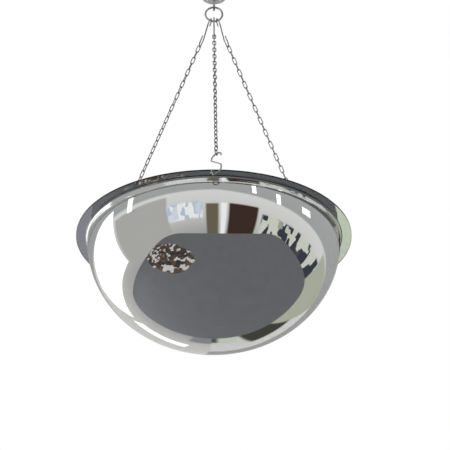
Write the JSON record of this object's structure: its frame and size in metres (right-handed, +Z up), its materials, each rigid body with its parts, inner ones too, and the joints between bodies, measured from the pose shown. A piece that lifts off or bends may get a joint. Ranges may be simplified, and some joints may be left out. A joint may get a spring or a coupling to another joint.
{
  "type": "convex security mirror",
  "caption": "Hollow half-dome convex mirror with a flat flange, hung mirror side down from a swivel ceiling hook by chains and S-hooks.",
  "frame": {"origin": "centre of the ceiling plate, on its upper face against the ceiling", "axes": "+Z up, out of the plate into the ceiling; -Y towards the front chain; +X to the right seen from the front"},
  "size_m": [0.66, 0.6648, 0.9889],
  "materials": {
    "clear_acrylic": "clear, polished",
    "mirror_layer": "polished",
    "back_paint": "matte",
    "plate_enamel": "satin",
    "fitting_steel": "satin",
    "hook_steel": "satin",
    "chain_steel": "satin"
  },
  "bodies": {
    "ceiling_fitting": {"ceiling_plate": "plate_enamel", "swivel_washer": "fitting_steel"},
    "hook": {"swivel_hook": "fitting_steel"},
    "ring": {"gathering_ring": "fitting_steel"},
    "mirror": {"dome_shell": "clear_acrylic", "mirror_coating": "mirror_layer", "back_paint": "back_paint", "chain_front_upper": "chain_steel", "chain_front_middle": "chain_steel", "chain_front_lower": "chain_steel", "chain_right_upper": "chain_steel", "chain_right_middle": "chain_steel", "chain_right_lower": "chain_steel", "chain_left_upper": "chain_steel", "chain_left_middle": "chain_steel", "chain_left_lower": "chain_steel"},
    "s_hook_bottom_front": {"s_hook_bottom_front": "hook_steel"},
    "s_hook_top_front": {"s_hook_top_front": "hook_steel"},
    "s_hook_bottom_right": {"s_hook_bottom_right": "hook_steel"},
    "s_hook_top_right": {"s_hook_top_right": "hook_steel"},
    "s_hook_bottom_left": {"s_hook_bottom_left": "hook_steel"},
    "s_hook_top_left": {"s_hook_top_left": "hook_steel"}
  },
  "joints": [
    {"name": "hook_swivel", "type": "hinge", "parent": "ceiling_fitting", "child": "hook", "pos_m": [0, 0, -0.02], "axis": [0, 0, 1], "continuous": true},
    {"name": "side_swing", "type": "hinge", "parent": "hook", "child": "ring", "pos_m": [0, 0, -0.04044], "axis": [0, 1, 0], "range_deg": [-20, 20]},
    {"name": "fore_aft_swing", "type": "hinge", "parent": "ring", "child": "mirror", "pos_m": [0, 0, -0.07864], "axis": [1, 0, 0], "range_deg": [-20, 20]},
    {"name": "s_hook_bottom_front_twist", "type": "hinge", "parent": "mirror", "child": "s_hook_bottom_front", "pos_m": [0, -0.329, -0.7274], "axis": [0, 0.4523, 0.8919], "range_deg": [-5, 4]},
    {"name": "s_hook_top_front_twist", "type": "hinge", "parent": "mirror", "child": "s_hook_top_front", "pos_m": [0, 0, -0.07864], "axis": [0, 0.4523, 0.8919], "range_deg": [-12, 12]},
    {"name": "s_hook_bottom_right_twist", "type": "hinge", "parent": "mirror", "child": "s_hook_bottom_right", "pos_m": [0.28492, 0.1645, -0.7274], "axis": [-0.3813, -0.2267, 0.8962], "range_deg": [-5, 4]},
    {"name": "s_hook_top_right_twist", "type": "hinge", "parent": "mirror", "child": "s_hook_top_right", "pos_m": [0.00824, 0, -0.07704], "axis": [-0.3813, -0.2267, 0.8962], "range_deg": [-12, 12]},
    {"name": "s_hook_bottom_left_twist", "type": "hinge", "parent": "mirror", "child": "s_hook_bottom_left", "pos_m": [-0.28492, 0.1645, -0.7274], "axis": [0.3813, -0.2267, 0.8962], "range_deg": [-5, 4]},
    {"name": "s_hook_top_left_twist", "type": "hinge", "parent": "mirror", "child": "s_hook_top_left", "pos_m": [-0.00824, 0, -0.07704], "axis": [0.3813, -0.2267, 0.8962], "range_deg": [-12, 12]}
  ]
}
